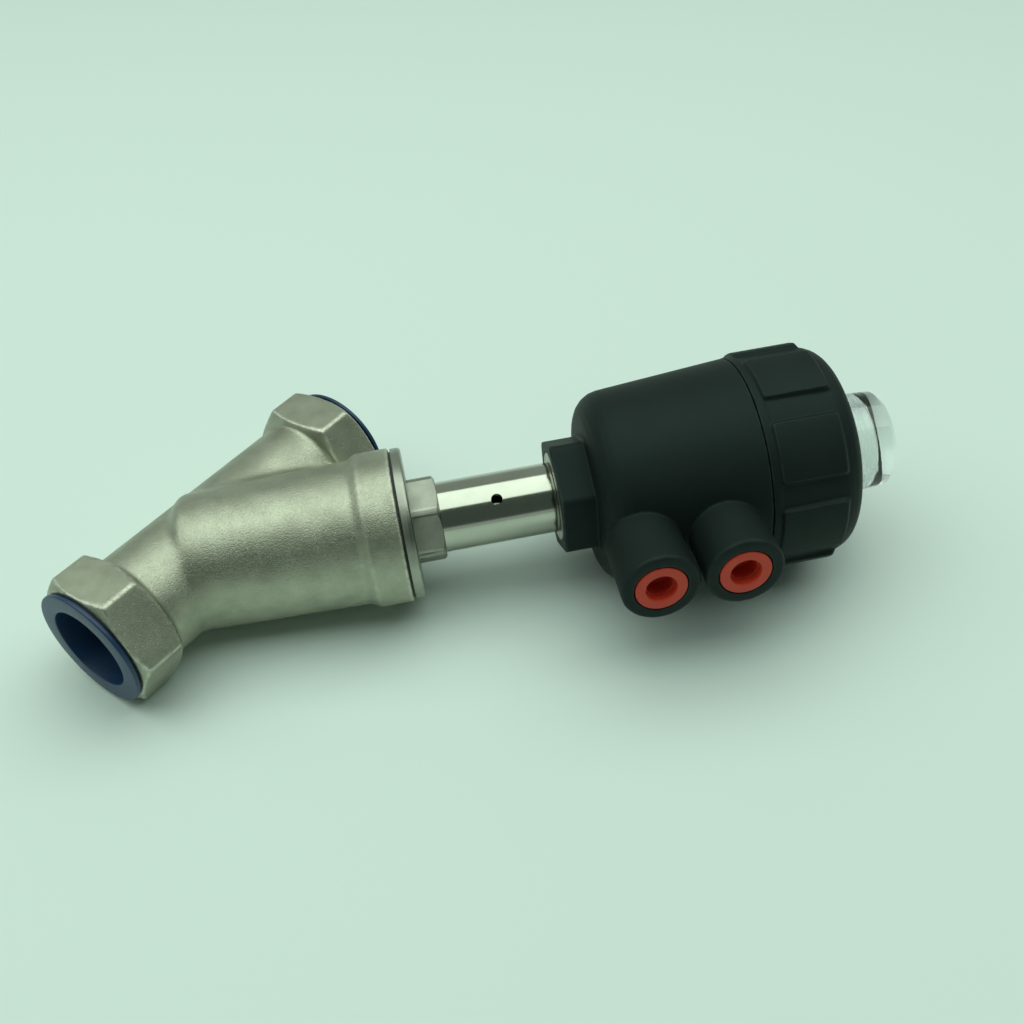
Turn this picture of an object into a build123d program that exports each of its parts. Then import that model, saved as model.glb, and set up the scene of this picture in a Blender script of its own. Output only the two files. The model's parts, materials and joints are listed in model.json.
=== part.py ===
from build123d import *
import os
from math import cos, radians, sin, sqrt, tan

# Angle seat valve, millimetres.
#
# The flow axis is the X axis, from the inlet port to the outlet port.  The
# origin is the centre of the inlet thread's mouth.  The stem axis leaves the
# flow axis at 45 degrees and carries the bonnet, the neck and the actuator.
# Distances along the stem axis are called stations and start at the point
# where the two axes cross.  The valve lies on its side, as on a bench: both
# port hexagons and the actuator cap touch the surface under it.

# ---------------------------------------------------------------- clearances
run_gap = 0.05          # radial, running and sliding fits
seal_gap = 0.05         # radial, a seal lip beside the part that it seals
loose_gap = 0.3         # a plug in its recess
screw_gap = 0.1         # radial, parts screwed into each other
face_gap = 0.1          # axial, faces of parts that turn or slide
edge_break = 0.4        # small rounding of machined and moulded edges

# ---------------------------------------------------------------- body casting
stem_angle = 45         # between flow axis and stem axis, degrees
inlet_reach = 41        # from the crossing point to the inlet face
outlet_reach = 69       # from the crossing point to the outlet face
passage_r = 12.5        # nominal bore
port_thread_r = 15.15   # G 1 female thread, core radius
port_thread_length = 11
lead_in_r = 16.7        # plain lead-in ahead of each port thread
lead_in_depth = 8.5
port_flats = 41         # spanner size of the port hexagons
port_hex_length = 16
port_face_r = 20.2      # radius at which the hexagon's chamfer starts
chamfer_angle = 30
run_r = 18.4            # outside of the cast run between the hexagons
run_root_blend = 1.6    # where the run meets the hexagons
barrel_taper = 1.4      # how much narrower the barrel is at its blind end
barrel_high_r = 23.6    # outside of the barrel below the collar
barrel_start = -2.5     # station of the blind end
barrel_end_round = 5
blend_r = 4             # cast blend between run and barrel
collar_step = 1.7       # how much wider the collar is than the barrel
collar_margin = 3.58    # barrel left between the run and the collar's slope
collar_slope = 3.4      # length of the sloping shoulder under the collar
collar_length = 10.8
collar_round = 1.2
collar_overlap = 0.2    # how far the collar's root is sunk into the barrel
barrel_wall = 5.1       # round the valve chamber
chamber_floor = 8.8
seat_station = 10       # sealing edge of the seat
seat_lip_inset = 4.1    # from the chamber's wall to the sealing edge
seat_width = 1.9        # from the sealing edge to the seat orifice
orifice_start = -5      # where the seat orifice opens into the inlet bore
outlet_bore_end = 22    # blind end of the outlet bore, on the flow axis
collar_wall = 5.9       # round the bonnet's thread
bonnet_thread_depth = 15

# ---------------------------------------------------------------- bonnet
gasket_thickness = 0.7
gasket_step = 1.4       # gasket and flange are this much smaller than the collar
flange_step = 0.4
flange_height = 3.3
flange_round = 1.1
bonnet_flats = 26
bonnet_hex_height = 9.1
bonnet_hex_turn = 50    # where the hexagon came to rest when screwed home
bonnet_bar_r = 14.35    # the round bar that the hexagon was milled from
hex_cone_step = 0.3     # how much the turned end face is smaller than the flats
bonnet_shank_height = 13
bonnet_mouth_inset = 4.9  # from the thread to the cone under the guide bush
bonnet_floor = 1.5      # wall between guide bush and neck tube
guide_bush_length = 10
guide_bush_wall = 2.4

# ---------------------------------------------------------------- neck and stem packing
stem_r = 5
stem_hole_gap = 0.4     # radial, where the stem passes a wall freely
neck_r = 11.57
neck_exposed = 37.6     # polished length between hexagon and actuator
neck_root = 14.5        # length screwed into the bonnet
neck_floor = 4
packing_r = 8.5         # bore that holds the stem packing
packing_bore_length = 31
packing_spring_length = 10
packing_spring_wire_r = 0.6
packing_spring_turns = 5
packing_spring_offset = 0.3
pressure_ring_height = 1.5
packing_ring_count = 4
packing_ring_pitch = 2.3
packing_ring_vee = 1.1  # rise of the V in each packing ring
packing_ring_gap = 0.1
gland_height = 5
upper_bush_bore_r = 6.8
upper_bush_length = 10
wiper_height = 3.2
wiper_lip = 0.7
gland_chamfer = 0.6
weep_hole_r = 1.65
weep_hole_rise = 18.4   # above the bonnet hexagon
weep_hole_turn = 53
spigot_r = 10.6         # thin end of the neck, inside the actuator
spigot_length = 9.8
o_ring_section_r = 0.9
o_ring_play = 0.4       # axial, of each O-ring in its groove
neck_groove_rise = 4
circlip_width = 1.2
circlip_depth = 0.8
circlip_reach = 2
circlip_play = 0.05
circlip_opening = 36    # degrees

# ---------------------------------------------------------------- actuator
actuator_turn = 1.5     # the actuator can be turned on its neck; how it stands
mount_ring_r = 14.7
mount_ring_height = 7.7
mount_ring_groove = 1.2
base_flats = 35
base_corner_round = 3
base_height = 11.4      # hexagon at the foot of the housing
housing_height = 51.4   # from the hexagon to the seam
cylinder_r = 28         # bore for the piston
cylinder_floor_chamfer = 2
housing_foot_wall = 3.3  # wall of the housing where the sides would meet the floor
housing_foot_round = 9
housing_seam_wall = 7.1
housing_floor = 5
housing_neck_wall = 4   # threaded neck under the cap
housing_neck_height = 12
cap_groove_drop = 1.6   # from the top of the neck to its O-ring groove
air_port_low = 22.35    # above the foot of the hexagon
air_port_pitch = 26
air_boss_length = 16.5  # from the housing's widest radius to the face of the boss
air_boss_root_r = 11.9
air_boss_face_r = 12.3
air_boss_chamfer = 1.3
air_thread_r = 5.72     # G 1/4 female thread, core radius
air_thread_length = 8.5
air_recess_r = 6.65     # plain lead-in ahead of each air thread
air_recess_depth = 6.4
air_counterbore_r = 8.4
air_counterbore_depth = 2
air_passage_r = 2.5

# ---------------------------------------------------------------- cap and indicator dome
seam_gap = 0.25
cap_rim_step = 0.1      # the cap is this much wider than the housing at the seam
cap_flare_step = 0.4    # and this much wider where the grip pads start
cap_flare_height = 3.2
cap_side_drop = 11      # from the end face's rim down to the shoulder
cap_side_step = 0.6     # how much the side narrows up to the shoulder
cap_shoulder_step = 5.3  # from the widest radius to where the end face starts
cap_shoulder_drop = 4.4  # from the end face's rim down to where it starts
cap_top_height = 34.6
pad_count = 8
pad_angle = 30
pad_rise = 0.9          # how far a pad stands out of the cap at its foot
pad_turn = 41.5
pad_corner_round = 0.4
pad_root = 1.8          # how deep a pad is sunk into the cap's wall
cap_shoulder_bulge = 0.9
cap_roof_bulge = 0.7
cap_roof_chamfer = 3.2
dome_base_r = 16.9
dome_end_r = 15.4
dome_height = 17
dome_round = 1.8
dome_crown = 0.8
dome_end_wall = 5.3
dome_stub_r = 13.6
dome_stub_height = 4.6
dome_recess_depth = 2.3
dome_recess_gap = 0.3   # radial, round the dome in the cap's end
dome_gland_step = 1.1   # from the dome's edge to its O-ring groove

# ---------------------------------------------------------------- trim: what the piston lifts
spigot_thread_r = 4     # both turned-down ends of the stem
thread_overhang = 1.5   # thread that stands out of each lock nut
disc_margin = 2.2       # from the chamber's wall to the disc
disc_wall = 1.3         # round the soft seal
disc_height = 7
disc_rim_height = 3
disc_hub_r = 8
disc_hub_height = 5.4
seal_height = 3.5
seal_pocket_depth = 2
seat_gap = 0.1
washer_margin = 2       # from the seat orifice to the washer
washer_height = 1.8
nut_flats = 13
nut_height = 5
piston_floor_gap = 10   # from the housing floor to the piston
piston_height = 7.5
piston_gap = 0.3
piston_land = 0.8       # between the edge, the seal and the guide ring
piston_rim_width = 2.4
piston_web = 4
piston_hub_r = 9
piston_hub_drop = 4
piston_seal_height = 3
piston_seal_depth = 3.2
piston_seal_lip = 0.6
guide_ring_height = 2
guide_ring_depth = 1.6
outer_spring_margin = 3  # from the edge of the spring plate to the wire's centre
outer_spring_wire_r = 1.8
outer_spring_turns = 6
inner_spring_margin = 11.2
inner_spring_wire_r = 1.3
inner_spring_turns = 7
spring_plate_height = 1.5
spring_plate_gap = 0.4
spring_plate_hole_r = 11
indicator_r = 9.5
indicator_height = 8
indicator_rod_r = 3.2
indicator_top_gap = 1   # from the head of the indicator to the dome's floor

# ---------------------------------------------------------------- plugs
port_plug_flange_r = 20.2
port_plug_flange = 1.3
port_plug_neck = 0.8
port_plug_neck_r = 18.9
port_plug_cup_r = 14.15
port_plug_floor = 1.2
air_plug_flange_r = 8.1
air_plug_cup_r = 4.85
air_plug_cup_depth = 2.4
air_plug_core_r = 4.2
air_plug_floor = 1.2

# ---------------------------------------------------------------- radii of the actuator
housing_neck_r = cylinder_r + housing_neck_wall
housing_foot_r = cylinder_r + housing_foot_wall
housing_top_r = cylinder_r + housing_seam_wall
air_boss_reach = housing_top_r + air_boss_length
cap_rim_r = housing_top_r + cap_rim_step
cap_flare_r = housing_top_r + cap_flare_step
cap_side_r = cap_flare_r - cap_side_step
cap_shoulder_r = cap_flare_r - cap_shoulder_step
pad_r = cap_flare_r + pad_rise
spring_plate_r = cylinder_r - cap_roof_chamfer - spring_plate_gap
outer_spring_r = spring_plate_r - outer_spring_margin
inner_spring_r = spring_plate_r - inner_spring_margin

# ---------------------------------------------------------------- radii of the body
barrel_low_r = barrel_high_r - barrel_taper
chamber_r = barrel_high_r - barrel_wall
seat_lip_r = chamber_r - seat_lip_inset
orifice_r = seat_lip_r - seat_width
disc_r = chamber_r - disc_margin
seal_r = disc_r - disc_wall
washer_r = orifice_r - washer_margin
collar_r = barrel_high_r + collar_step
bonnet_thread_r = collar_r - collar_wall
bonnet_mouth_r = bonnet_thread_r - bonnet_mouth_inset
gasket_r = collar_r - gasket_step
flange_r = collar_r - flange_step

# ---------------------------------------------------------------- stations
barrel_end = run_r / sin(radians(stem_angle)) + barrel_high_r / tan(radians(stem_angle)) + collar_margin
collar_start = barrel_end + collar_slope
collar_end = collar_start + collar_length
bonnet_seat = collar_end + gasket_thickness
hex_foot = bonnet_seat + flange_height
hex_top = hex_foot + bonnet_hex_height
neck_foot = hex_top - neck_root
bush_top = neck_foot - bonnet_floor
bush_foot = bush_top - guide_bush_length
bonnet_foot = bonnet_seat - gasket_thickness - bonnet_shank_height
actuator_foot = hex_top + neck_exposed
neck_top = actuator_foot + spigot_length
spring_foot = neck_foot + neck_floor
pressure_ring_foot = spring_foot + packing_spring_length
packing_foot = pressure_ring_foot + pressure_ring_height
gland_foot = packing_foot + packing_ring_count * packing_ring_pitch + packing_ring_vee
packing_bore_top = spring_foot + packing_bore_length
wiper_foot = actuator_foot - wiper_height
upper_bush_foot = wiper_foot - upper_bush_length
neck_groove_foot = actuator_foot + neck_groove_rise
circlip_foot = actuator_foot + mount_ring_height + face_gap
housing_foot = actuator_foot + base_height
chamber_foot = housing_foot + housing_floor
seam = housing_foot + housing_height
housing_top = seam + housing_neck_height
cap_side_height = cap_top_height - cap_side_drop
cap_shoulder_height = cap_top_height - cap_shoulder_drop
pad_length = cap_side_height - cap_flare_height
dome_seat = seam + cap_top_height - dome_recess_depth
cap_roof = dome_seat - dome_stub_height
seal_foot = seat_station + seat_gap
disc_foot = seal_foot + seal_height - seal_pocket_depth
disc_top = disc_foot + disc_height
stem_shoulder = disc_top - seal_pocket_depth
washer_foot = seal_foot - washer_height
nut_foot = washer_foot - nut_height
piston_foot = chamber_foot + piston_floor_gap
piston_shoulder = piston_foot - piston_hub_drop
piston_seat = piston_foot + piston_web
piston_nut_foot = piston_seat
stem_top = piston_nut_foot + nut_height + thread_overhang
plate_foot = cap_roof - spring_plate_height
indicator_top = dome_seat - indicator_top_gap
indicator_foot = indicator_top - indicator_height


def rest_tilt():
    """Angle by which the flat-lying valve rolls on its hexagons, in degrees.

    The cap is wider than the hexagons, so the actuator lifts until the lower
    corner of the hexagons and the grip pads lie on one level."""
    corner = port_flats / sqrt(3)
    along = (seam + cap_flare_height) * sin(radians(stem_angle))
    across = cos(radians(stem_angle))
    low, high = 0.0, 30.0
    for _ in range(60):
        tilt = radians((low + high) / 2)
        hexagon = corner * sin(radians(60) + tilt)
        pad = pad_r * sqrt(cos(tilt) ** 2 + (across * sin(tilt)) ** 2) - along * sin(tilt)
        low, high = ((low + high) / 2, high) if pad > hexagon else (low, (low + high) / 2)
    return (low + high) / 2


# ---------------------------------------------------------------- frames
CROSSING = Location((inlet_reach - lead_in_depth, 0, 0), (-rest_tilt(), 0, 0))
STEM_AXIS = Plane(
    origin=(0, 0, 0),
    x_dir=(-sin(radians(stem_angle)), -cos(radians(stem_angle)), 0),
    z_dir=(cos(radians(stem_angle)), -sin(radians(stem_angle)), 0),
).location
STEM = CROSSING * STEM_AXIS
ACTUATOR = STEM * Rot(0, 0, -actuator_turn)
INLET = CROSSING * Location((-inlet_reach, 0, 0), (0, -90, 0))
OUTLET = CROSSING * Location((outlet_reach, 0, 0), (0, 90, 0))


def air_port(number):
    """Frame on the face of an air boss, Z outwards."""
    station = actuator_foot + air_port_low + number * air_port_pitch
    return Location((air_boss_reach, 0, station), (0, 90, 0))


# ---------------------------------------------------------------- building blocks
def turned(points, rounds=None):
    """Solid of revolution round Z from (radius, station) points.

    rounds gives a fillet radius for some of the points, by their index."""
    outline = make_face(Polyline(*[(r, z) for r, z in points], close=True))
    for index, radius in (rounds or {}).items():
        corner = outline.vertices().sort_by_distance((points[index][0], points[index][1], 0))[0]
        outline = fillet(corner, radius)
    return revolve(Plane.XZ * outline, Axis.Z)


def ring(inner, outer, foot, top):
    """Plain ring between two radii and two stations."""
    return turned([(inner, foot), (outer, foot), (outer, top), (inner, top)])


def rod(radius, foot, top):
    return Pos(0, 0, (foot + top) / 2) * Cylinder(radius, top - foot)


def hexagon(flats, foot, top, corner_round=0.0):
    """Hexagonal prism with one corner on +X."""
    outline = RegularPolygon(flats / 2, 6, major_radius=False)
    if corner_round:
        outline = fillet(outline.vertices(), corner_round)
    return Pos(0, 0, foot) * extrude(outline, top - foot)


def chamfered(prism, face_r, foot, top):
    """Turns the corners of a hexagonal prism to a cone at both ends."""
    middle = (foot + top) / 2
    wide = face_r + (middle - foot) / tan(radians(chamfer_angle))
    return prism & turned([(0, foot), (face_r, foot), (wide, middle), (face_r, top), (0, top)])


def coil(radius, wire_r, turns, foot, top):
    """Helical spring between two stations, its end turns ground to fit."""
    rise = top - foot - 2 * wire_r
    path = Helix(rise / turns, rise, radius)
    section = Plane(origin=path @ 0, z_dir=path % 0) * Circle(wire_r)
    return Pos(0, 0, foot + wire_r) * sweep(section, path=path)


# ---------------------------------------------------------------- body
def port_hexagon():
    """Hexagonal port end with the cast blend behind it; its face is at Z 0."""
    back = -port_hex_length
    prism = Rot(0, 0, 30) * hexagon(port_flats, back, 0)
    sag = run_root_blend * (1 - sqrt(0.5))
    blend = ThreePointArc(
        (run_r + run_root_blend, back), (run_r + sag, back - sag), (run_r, back - run_root_blend)
    )
    root = Polyline(
        (run_r, back - run_root_blend),
        (run_r - 1, back - run_root_blend),
        (run_r - 1, back),
        (run_r + run_root_blend, back),
    )
    return chamfered(prism, port_face_r, back, 0) + revolve(Plane.XZ * make_face(blend + root), Axis.Z)


def valve_body():
    """Cast Y body with its hexagonal ports, chamber, seat and partition."""
    inlet = Location((-inlet_reach, 0, 0), (0, -90, 0))
    outlet = Location((outlet_reach, 0, 0), (0, 90, 0))
    run_length = inlet_reach + outlet_reach - port_hex_length
    run_middle = (outlet_reach - inlet_reach) / 2
    run = Pos(run_middle, 0, 0) * Rot(0, 90, 0) * Cylinder(run_r, run_length)
    barrel = turned(
        [
            (0, barrel_start),
            (barrel_low_r, barrel_start),
            (barrel_high_r, barrel_end),
            (0, barrel_end),
        ],
        {1: barrel_end_round},
    )
    casting = run + STEM_AXIS * barrel
    creases = [e for e in casting.edges() if e.geom_type not in (GeomType.LINE, GeomType.CIRCLE)]
    casting = fillet(creases, blend_r)
    collar = turned(
        [
            (0, barrel_end - 1),
            (barrel_high_r - collar_overlap, barrel_end - 1),
            (barrel_high_r - collar_overlap, barrel_end),
            (collar_r, collar_start),
            (collar_r, collar_end),
            (0, collar_end),
        ],
        {3: collar_round, 4: edge_break},
    )
    casting = casting + STEM_AXIS * collar
    casting = casting + inlet * port_hexagon() + outlet * port_hexagon()

    chamber = turned(
        [
            (0, orifice_start),
            (orifice_r, orifice_start),
            (orifice_r, seat_station),
            (seat_lip_r, seat_station),
            (seat_lip_r, chamber_floor),
            (chamber_r, chamber_floor),
            (chamber_r, collar_end - bonnet_thread_depth),
            (bonnet_thread_r, collar_end - bonnet_thread_depth),
            (bonnet_thread_r, collar_end),
            (0, collar_end),
        ]
    )
    casting = casting - STEM_AXIS * chamber
    for port, depth in ((inlet, inlet_reach), (outlet, outlet_reach - outlet_bore_end)):
        casting = casting - port * rod(passage_r, -depth, 0)
        casting = casting - port * rod(port_thread_r, -lead_in_depth - port_thread_length, 0)
        casting = casting - port * rod(lead_in_r, -lead_in_depth, 0)
    return casting


# ---------------------------------------------------------------- bonnet and neck
def bonnet_gasket():
    return ring(bonnet_thread_r, gasket_r, collar_end, bonnet_seat)


def bonnet():
    """Screwed bonnet: shank, flange and hexagon, bored for bush and neck."""
    shank_r = bonnet_thread_r - screw_gap
    turned_part = turned(
        [
            (0, bonnet_foot),
            (shank_r, bonnet_foot),
            (shank_r, bonnet_seat),
            (flange_r, bonnet_seat),
            (flange_r, hex_foot),
            (0, hex_foot),
        ],
        {1: 2 * edge_break, 3: edge_break, 4: flange_round},
    )
    cone_r = bonnet_flats / 2 - hex_cone_step
    cone_foot = hex_top - (bonnet_bar_r - cone_r) * tan(radians(chamfer_angle))
    bar = turned(
        [(0, hex_foot), (bonnet_bar_r, hex_foot), (bonnet_bar_r, cone_foot), (cone_r, hex_top), (0, hex_top)]
    )
    solid = turned_part + Rot(0, 0, -bonnet_hex_turn) * (hexagon(bonnet_flats, hex_foot, hex_top) & bar)
    bush_r = stem_r + run_gap + guide_bush_wall
    bores = turned(
        [
            (0, bonnet_foot),
            (bonnet_mouth_r, bonnet_foot),
            (bush_r, bush_foot),
            (bush_r, bush_top),
            (stem_r + stem_hole_gap, bush_top),
            (stem_r + stem_hole_gap, neck_foot),
            (neck_r + screw_gap, neck_foot),
            (neck_r + screw_gap, hex_top),
            (0, hex_top),
        ]
    )
    return solid - bores


def lower_guide_bush():
    inner = stem_r + run_gap
    return ring(inner, inner + guide_bush_wall, bush_foot, bush_top)


def neck_tube():
    """Polished tube from bonnet to actuator; it houses the stem packing."""
    groove_r = spigot_r - 2 * o_ring_section_r
    groove_top = neck_groove_foot + 2 * o_ring_section_r + o_ring_play
    clip_r = spigot_r - circlip_depth
    outside = [
        (stem_r + stem_hole_gap, neck_foot),
        (neck_r, neck_foot),
        (neck_r, actuator_foot - face_gap),
        (spigot_r, actuator_foot - face_gap),
        (spigot_r, neck_groove_foot),
        (groove_r, neck_groove_foot),
        (groove_r, groove_top),
        (spigot_r, groove_top),
        (spigot_r, circlip_foot),
        (clip_r, circlip_foot),
        (clip_r, circlip_foot + circlip_width),
        (spigot_r, circlip_foot + circlip_width),
        (spigot_r, neck_top),
    ]
    inside = [
        (upper_bush_bore_r, neck_top),
        (upper_bush_bore_r, packing_bore_top + packing_r - upper_bush_bore_r),
        (packing_r, packing_bore_top),
        (packing_r, spring_foot),
        (stem_r + stem_hole_gap, spring_foot),
    ]
    tube = turned(outside + inside)
    weep = Pos(0, 0, hex_top + weep_hole_rise) * Rot(0, 0, -weep_hole_turn) * Rot(0, 90, 0)
    return tube - weep * rod(weep_hole_r, stem_r, neck_r + 1)


def packing_spring():
    radius = (stem_r + packing_r) / 2 + packing_spring_offset
    return coil(radius, packing_spring_wire_r, packing_spring_turns, spring_foot, pressure_ring_foot)


def packing_pressure_ring():
    return ring(stem_r + stem_hole_gap, packing_r - seal_gap, pressure_ring_foot, packing_foot)


def packing_rings():
    """Nested V rings, one solid each, under the gland."""
    inner, outer = stem_r + seal_gap, packing_r - seal_gap
    middle = (inner + outer) / 2
    rings = []
    for number in range(packing_ring_count):
        foot = packing_foot + number * packing_ring_pitch
        top = foot + packing_ring_pitch - packing_ring_gap
        rise = packing_ring_vee
        low = [(inner, foot), (middle, foot + rise), (outer, foot)]
        if number == 0:
            low = [(inner, foot), (outer, foot)]
        high = [(outer, top), (middle, top + rise), (inner, top)]
        if number == packing_ring_count - 1:
            high = [(outer, top + rise), (inner, top + rise)]
        rings.append(turned(low + high))
    return Compound(children=rings)


def packing_gland():
    return turned(
        [
            (stem_r + stem_hole_gap, gland_foot),
            (packing_r - seal_gap, gland_foot),
            (packing_r - seal_gap, gland_foot + gland_height - gland_chamfer),
            (packing_r - seal_gap - gland_chamfer, gland_foot + gland_height),
            (stem_r + stem_hole_gap, gland_foot + gland_height),
        ]
    )


def upper_guide_bush():
    return ring(stem_r + run_gap, upper_bush_bore_r, upper_bush_foot, wiper_foot)


def stem_wiper():
    """Lip ring that keeps air and dirt off the stem."""
    inner = stem_r + seal_gap
    return turned(
        [
            (inner + wiper_lip, wiper_foot),
            (upper_bush_bore_r, wiper_foot),
            (upper_bush_bore_r, actuator_foot),
            (inner, actuator_foot),
            (inner, actuator_foot - wiper_lip),
        ]
    )


def o_ring(centre_r, station):
    section = Pos(centre_r, station) * Circle(o_ring_section_r)
    return revolve(Plane.XZ * section, Axis.Z)


def neck_o_ring():
    middle = neck_groove_foot + o_ring_section_r + o_ring_play / 2
    return o_ring(spigot_r - o_ring_section_r, middle)


def neck_circlip():
    """Spring ring in the neck's groove; it holds the actuator on."""
    inner = spigot_r - circlip_depth
    foot = circlip_foot + circlip_play
    clip = ring(inner, inner + circlip_reach, foot, circlip_foot + circlip_width - circlip_play)
    opening = Rot(0, 0, -circlip_opening / 2) * Pos(0, 0, circlip_foot) * extrude(
        make_face(
            Polyline(
                (0, 0),
                (2 * neck_r, 0),
                (2 * neck_r * cos(radians(circlip_opening)), 2 * neck_r * sin(radians(circlip_opening))),
                close=True,
            )
        ),
        circlip_width,
    )
    return clip - opening


# ---------------------------------------------------------------- actuator
def mounting_ring():
    """Metal insert moulded into the foot of the housing."""
    foot, top = actuator_foot, actuator_foot + mount_ring_height
    third = mount_ring_height / 3
    return turned(
        [
            (spigot_r + run_gap, foot),
            (mount_ring_r, foot),
            (mount_ring_r, foot + third),
            (mount_ring_r - mount_ring_groove, foot + third),
            (mount_ring_r - mount_ring_groove, top - third),
            (mount_ring_r, top - third),
            (mount_ring_r, top),
            (spigot_r + run_gap, top),
        ],
        {1: edge_break},
    )


def cap_groove_foot():
    """Station of the O-ring groove in the housing's threaded neck."""
    return housing_top - cap_groove_drop - 2 * o_ring_section_r


def actuator_housing():
    """Moulded cylinder with its hexagonal foot and two air port bosses."""
    shell = turned(
        [
            (0, housing_foot),
            (housing_foot_r, housing_foot),
            (housing_top_r, seam),
            (housing_neck_r, seam),
            (housing_neck_r, housing_top),
            (0, housing_top),
        ],
        {1: housing_foot_round, 4: 2 * edge_break},
    )
    foot = Rot(0, 0, 30) * hexagon(base_flats, actuator_foot, housing_foot + 1, base_corner_round)
    shell = shell + foot
    boss_root = cylinder_r + 1
    for number in range(2):
        taper = Cone(
            air_boss_root_r, air_boss_face_r, air_boss_reach - boss_root,
            align=(Align.CENTER, Align.CENTER, Align.MAX),
        )
        taper = chamfer(taper.edges().sort_by(Axis.Z)[-1], air_boss_chamfer)
        shell = shell + air_port(number) * taper
    cavity = turned(
        [
            (0, actuator_foot),
            (mount_ring_r, actuator_foot),
            (mount_ring_r, actuator_foot + mount_ring_height),
            (mount_ring_r - mount_ring_groove, actuator_foot + mount_ring_height),
            (mount_ring_r - mount_ring_groove, chamber_foot),
            (cylinder_r - cylinder_floor_chamfer, chamber_foot),
            (cylinder_r, chamber_foot + cylinder_floor_chamfer),
            (cylinder_r, housing_top),
            (0, housing_top),
        ]
    )
    third = mount_ring_height / 3
    key = ring(
        mount_ring_r - mount_ring_groove, mount_ring_r + 1, actuator_foot + third,
        actuator_foot + mount_ring_height - third,
    )
    shell = shell - (cavity - key)
    groove_foot = cap_groove_foot()
    shell = shell - ring(
        housing_neck_r + screw_gap - 2 * o_ring_section_r, housing_neck_r + 1,
        groove_foot, groove_foot + 2 * o_ring_section_r + o_ring_play,
    )
    counterbore_end = -air_counterbore_depth
    recess_end = counterbore_end - air_recess_depth
    thread_end = recess_end - air_thread_length
    passage_end = cylinder_r - 1 - air_boss_reach
    for number in range(2):
        hole = rod(air_counterbore_r, counterbore_end, 0)
        hole = hole + rod(air_recess_r, recess_end, 0) + rod(air_thread_r, thread_end, 0)
        shell = shell - air_port(number) * (hole + rod(air_passage_r, passage_end, 0))
    return shell


def cap_o_ring():
    middle = cap_groove_foot() + o_ring_section_r + o_ring_play / 2
    return o_ring(housing_neck_r + screw_gap - o_ring_section_r, middle)


def pad():
    """One raised grip pad with softened corners."""
    foot = seam + cap_flare_height
    half = radians(pad_angle / 2)
    wedge = make_face(
        Polyline(
            (0, 0),
            (2 * pad_r * cos(half), -2 * pad_r * sin(half)),
            (2 * pad_r * cos(half), 2 * pad_r * sin(half)),
            close=True,
        )
    )
    block = ring(pad_r - pad_root, pad_r, foot, foot + pad_length)
    block = block & Pos(0, 0, foot) * extrude(wedge, pad_length)
    outer = block.faces().filter_by(GeomType.CYLINDER).sort_by(SortBy.AREA)[-1]
    return fillet(outer.edges(), pad_corner_round)


def actuator_cap():
    """Screwed cap with eight grip pads and the seat of the indicator dome."""
    rim = seam + seam_gap
    recess_r = dome_base_r + dome_recess_gap
    side = Polyline(
        (0, rim), (cap_rim_r, rim), (cap_flare_r, seam + cap_flare_height), (cap_side_r, seam + cap_side_height)
    )
    shoulder = ThreePointArc(
        (cap_side_r, seam + cap_side_height),
        (
            (cap_side_r + cap_shoulder_r) / 2 + cap_shoulder_bulge,
            seam + (cap_side_height + cap_shoulder_height) / 2 + cap_shoulder_bulge,
        ),
        (cap_shoulder_r, seam + cap_shoulder_height),
    )
    roof = ThreePointArc(
        (cap_shoulder_r, seam + cap_shoulder_height),
        ((cap_shoulder_r + recess_r) / 2, seam + (cap_shoulder_height + cap_top_height) / 2 + cap_roof_bulge),
        (recess_r, seam + cap_top_height),
    )
    middle = Polyline(
        (recess_r, seam + cap_top_height),
        (recess_r, dome_seat),
        (0, dome_seat),
        (0, rim),
    )
    outline = make_face(side + shoulder + roof + middle)
    cap = revolve(Plane.XZ * outline, Axis.Z)
    for number in range(pad_count):
        cap = cap + Rot(0, 0, number * 360 / pad_count - pad_turn + actuator_turn) * pad()
    thread_r = housing_neck_r + screw_gap
    inside = turned(
        [
            (0, rim),
            (thread_r, rim),
            (thread_r, housing_top + 2 * face_gap),
            (cylinder_r, housing_top + 2 * face_gap),
            (cylinder_r, cap_roof - cap_roof_chamfer),
            (cylinder_r - cap_roof_chamfer, cap_roof),
            (dome_stub_r + screw_gap, cap_roof),
            (dome_stub_r + screw_gap, dome_seat),
            (0, dome_seat),
        ]
    )
    cap = cap - inside
    gland = dome_base_r - dome_gland_step
    return cap - ring(gland - 2 * o_ring_section_r, gland, dome_seat - 2 * o_ring_section_r, dome_seat)


def indicator_dome():
    """Clear cover over the position indicator, screwed into the cap."""
    top = dome_seat + dome_height
    shell = turned(
        [
            (0, dome_seat - dome_stub_height),
            (dome_stub_r, dome_seat - dome_stub_height),
            (dome_stub_r, dome_seat),
            (dome_base_r, dome_seat),
            (dome_end_r, top),
            (0, top + dome_crown),
        ],
        {4: dome_round},
    )
    hollow = turned(
        [
            (0, dome_seat - dome_stub_height),
            (spring_plate_hole_r, dome_seat - dome_stub_height),
            (spring_plate_hole_r, top - dome_end_wall),
            (0, top - dome_end_wall),
        ],
        {2: dome_round / 2},
    )
    return shell - hollow


def dome_o_ring():
    gland = dome_base_r - dome_gland_step
    return o_ring(gland - o_ring_section_r, dome_seat - o_ring_section_r)


def spring_plate():
    return ring(spring_plate_hole_r, spring_plate_r, plate_foot, cap_roof)


def outer_spring():
    return coil(outer_spring_r, outer_spring_wire_r, outer_spring_turns, piston_seat, plate_foot)


def inner_spring():
    return coil(inner_spring_r, inner_spring_wire_r, inner_spring_turns, piston_seat, plate_foot)


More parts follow.
